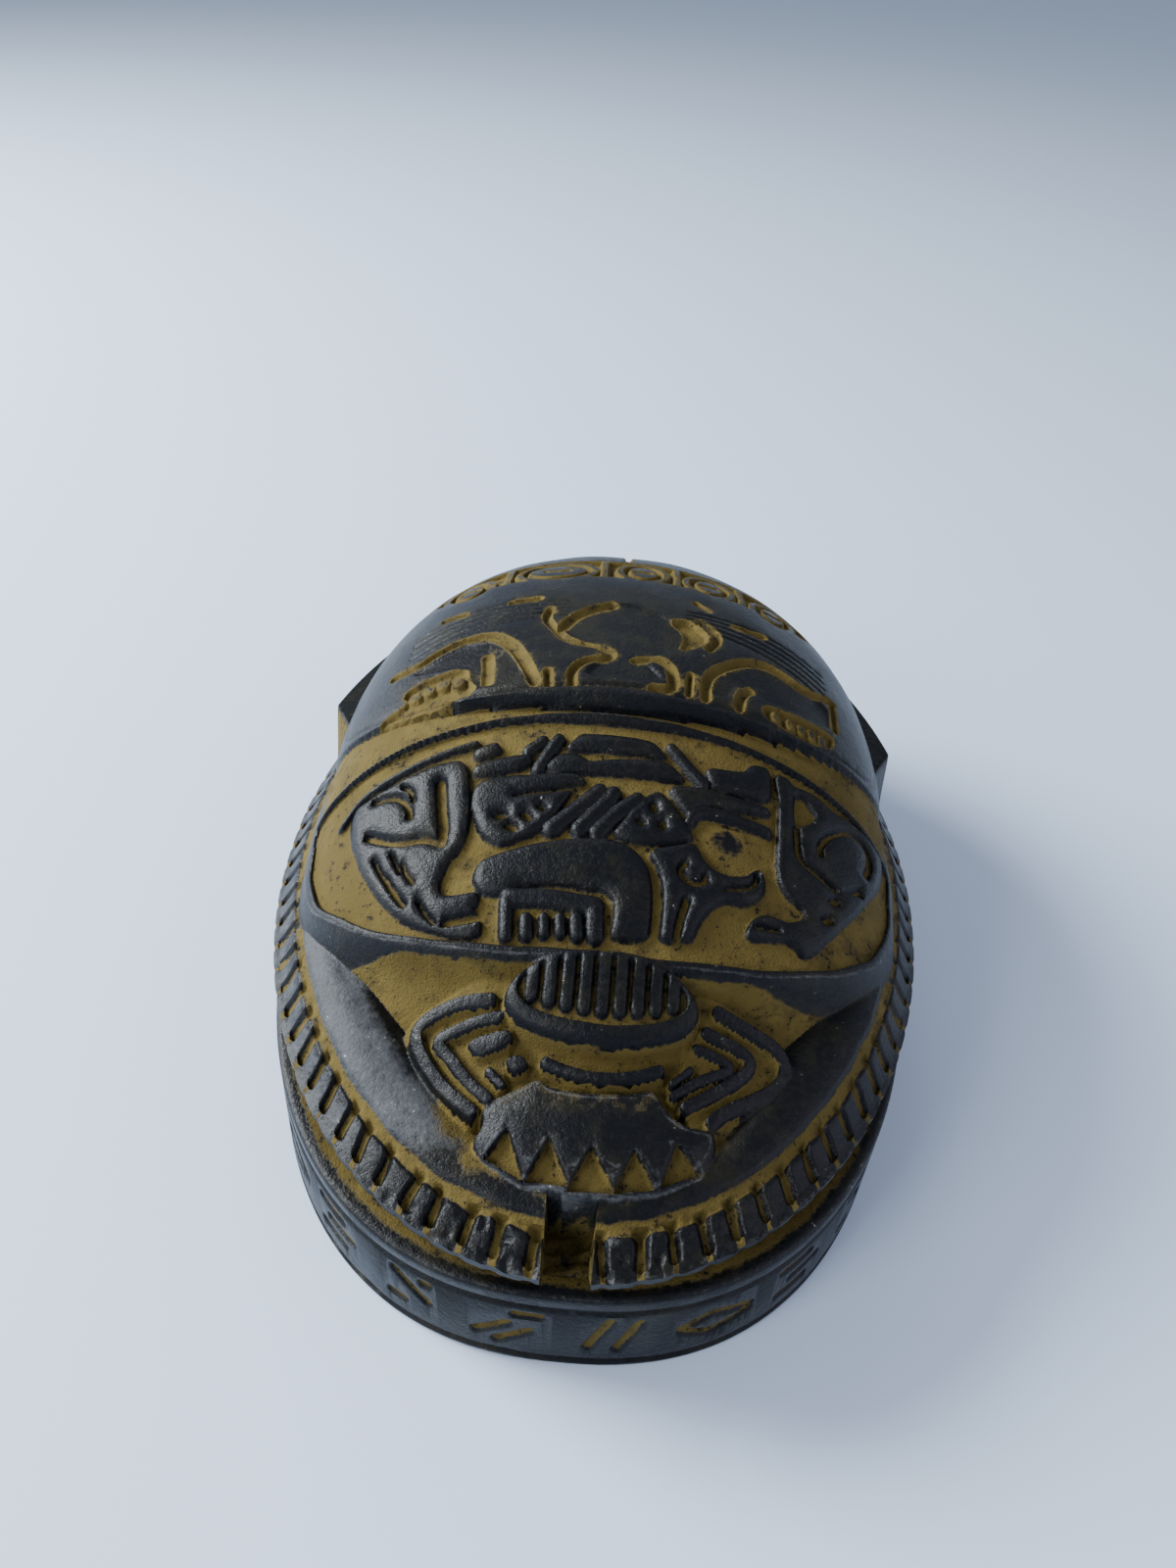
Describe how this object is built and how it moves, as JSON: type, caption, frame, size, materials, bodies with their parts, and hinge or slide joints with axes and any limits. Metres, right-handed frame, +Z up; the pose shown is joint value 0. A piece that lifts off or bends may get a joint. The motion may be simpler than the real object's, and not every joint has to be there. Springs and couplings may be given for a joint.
{
  "type": "carved scarab",
  "caption": "Carved stone scarab beetle on an oval base, with a figured shield and wing cases, a toothed leg band and rows of plain strokes round the side",
  "frame": {"origin": "bottom centre of the oval base, on the surface that it stands on", "axes": "+Z up, -Y the way the head looks, +X to the beetle's left as seen from its rear"},
  "size_m": [0.09, 0.1342, 0.051],
  "materials": {
    "stone": "polished near-black stone, with matt ochre earth in the carving"
  },
  "bodies": {
    "root": {"carved_scarab": "stone"}
  },
  "joints": []
}
